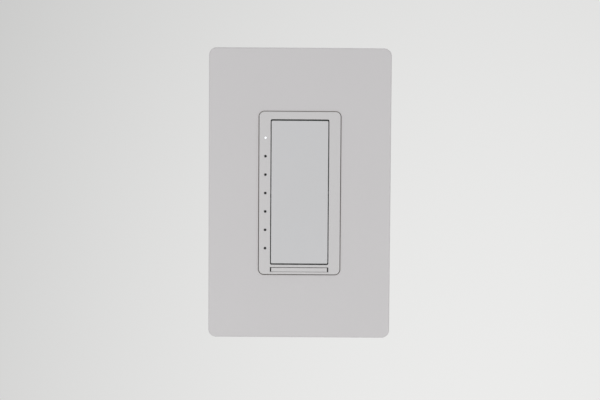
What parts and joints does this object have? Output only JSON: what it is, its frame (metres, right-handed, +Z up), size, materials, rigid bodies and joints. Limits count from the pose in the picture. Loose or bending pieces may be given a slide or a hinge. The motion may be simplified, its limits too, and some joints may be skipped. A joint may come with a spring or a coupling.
{
  "type": "lighting control keypad",
  "caption": "In-wall lighting dimmer with a tall rocker, a column of level lights and an air-gap pull tab in a screwless wall plate, on a metal yoke with a rear housing.",
  "frame": {"origin": "on the wall's face, at the device's centre, midway between the box screws", "axes": "+X to the right as seen from the room, +Y into the wall, +Z up"},
  "size_m": [0.0746, 0.0365, 0.1191],
  "materials": {
    "plate_plastic": "moulded, fine satin",
    "front_plastic": "moulded, fine satin",
    "frame_plastic": "moulded, plain",
    "housing_plastic": "moulded, fine texture",
    "black_plastic": "moulded, plain",
    "light_guide": "clear moulding",
    "led_body": "epoxy",
    "yoke_aluminium": "rolled and stamped",
    "zinc_steel": "zinc plated",
    "terminal_brass": "bare",
    "contact_brass": "bare",
    "ground_green": "green plated",
    "circuit_board": "solder mask",
    "fibre_sheet": "pressed fibre",
    "silicone": "moulded",
    "copper_wire": "enamelled",
    "ferrite": "coated",
    "film_box": "epoxy filled",
    "can_sleeve": "shrink sleeve on aluminium",
    "varistor_coat": "epoxy dip"
  },
  "bodies": {
    "device": {"cover_plate": "plate_plastic", "sub_plate": "frame_plastic", "sub_plate_screws": "zinc_steel", "mounting_yoke": "yoke_aluminium", "box_screws": "zinc_steel", "ground_screw": "ground_green", "bezel": "front_plastic", "light_pipe": "light_guide", "fixed_contacts": "contact_brass", "insulator_sheet": "fibre_sheet", "control_board": "circuit_board", "status_leds": "led_body", "controller_chip": "black_plastic", "dome_mat": "silicone", "header_pins": "contact_brass", "header_spacer": "black_plastic", "rear_housing": "housing_plastic", "housing_screws": "zinc_steel", "terminal_plates": "terminal_brass", "terminal_screws": "terminal_brass", "power_board": "circuit_board", "thermal_pad": "silicone", "triac": "black_plastic", "triac_screw": "zinc_steel", "choke_core": "ferrite", "choke_winding": "copper_wire", "film_capacitor": "film_box", "filter_capacitor": "can_sleeve", "fuse": "black_plastic", "varistor": "varistor_coat"},
    "rocker_body": {"rocker": "front_plastic"},
    "tab_body": {"air_gap_tab": "front_plastic", "bridge_carrier": "black_plastic", "contact_bridge": "contact_brass"}
  },
  "joints": [
    {"name": "rocker_tilt", "type": "hinge", "parent": "device", "child": "rocker_body", "pos_m": [0, -0.0052, 0.00037], "axis": [1, 0, 0], "range_deg": [-1.8, 1.8], "stiffness_Nm_per_rad": 0.8, "deforming": ["dome_mat"]},
    {"name": "tab_pull", "type": "slide", "parent": "device", "child": "tab_body", "axis": [0, -1, 0], "range_m": [0, 0.003]}
  ]
}
